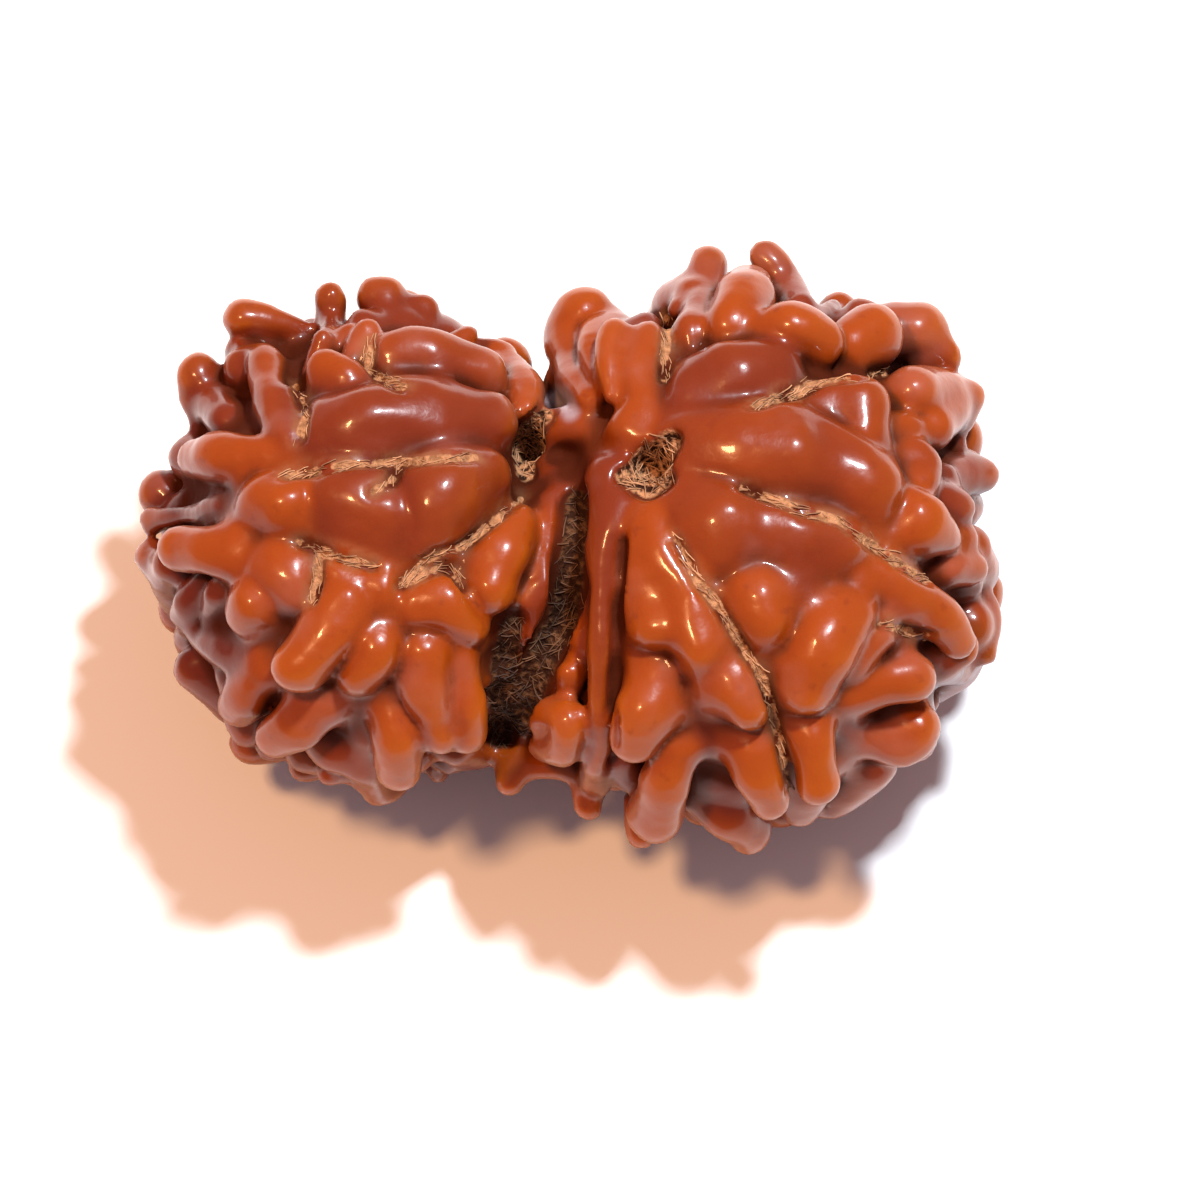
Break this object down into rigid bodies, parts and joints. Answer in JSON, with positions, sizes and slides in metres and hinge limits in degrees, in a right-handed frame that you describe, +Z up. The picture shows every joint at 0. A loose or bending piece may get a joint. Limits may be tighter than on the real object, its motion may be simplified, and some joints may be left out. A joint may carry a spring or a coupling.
{
  "type": "rudraksha seed",
  "caption": "Naturally joined pair of rudraksha seeds: round woody stones grown together along one side, covered with blunt fused lobes and thorns.",
  "frame": {"origin": "bottom centre of the box round the pair, on the surface that it rests on", "axes": "+Z up, away from the resting surface; +X along the pair, from the smaller seed to the larger one; +Y square to both"},
  "size_m": [0.0352, 0.0244, 0.0186],
  "materials": {
    "seed_shell": "waxy, oiled and polished orange-brown, darker and matt in the grooves, with tan fibres"
  },
  "bodies": {
    "root": {"rudraksha_seed": "seed_shell"}
  },
  "joints": []
}
